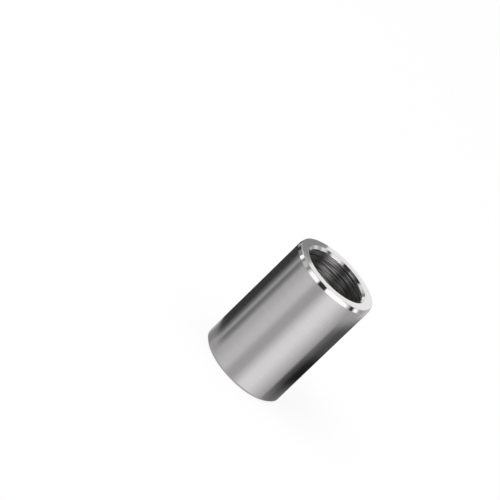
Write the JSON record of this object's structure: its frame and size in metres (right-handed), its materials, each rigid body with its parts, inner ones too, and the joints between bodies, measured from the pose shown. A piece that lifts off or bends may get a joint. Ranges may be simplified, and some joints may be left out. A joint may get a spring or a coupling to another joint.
{
  "type": "bushing",
  "caption": "Plain cylindrical steel bushing with a straight through bore, a shallow press-in lead on its top outer edge and chamfered bore mouths.",
  "frame": {"origin": "centre of the bore, on the bottom end face", "axes": "+Z along the bore, from the bottom end face to the end with the press-in lead"},
  "size_m": [0.022, 0.022, 0.032],
  "materials": {
    "steel": "fine ground outside, turned bore and end faces, bright chamfers"
  },
  "bodies": {
    "root": {"bushing": "steel"}
  },
  "joints": []
}
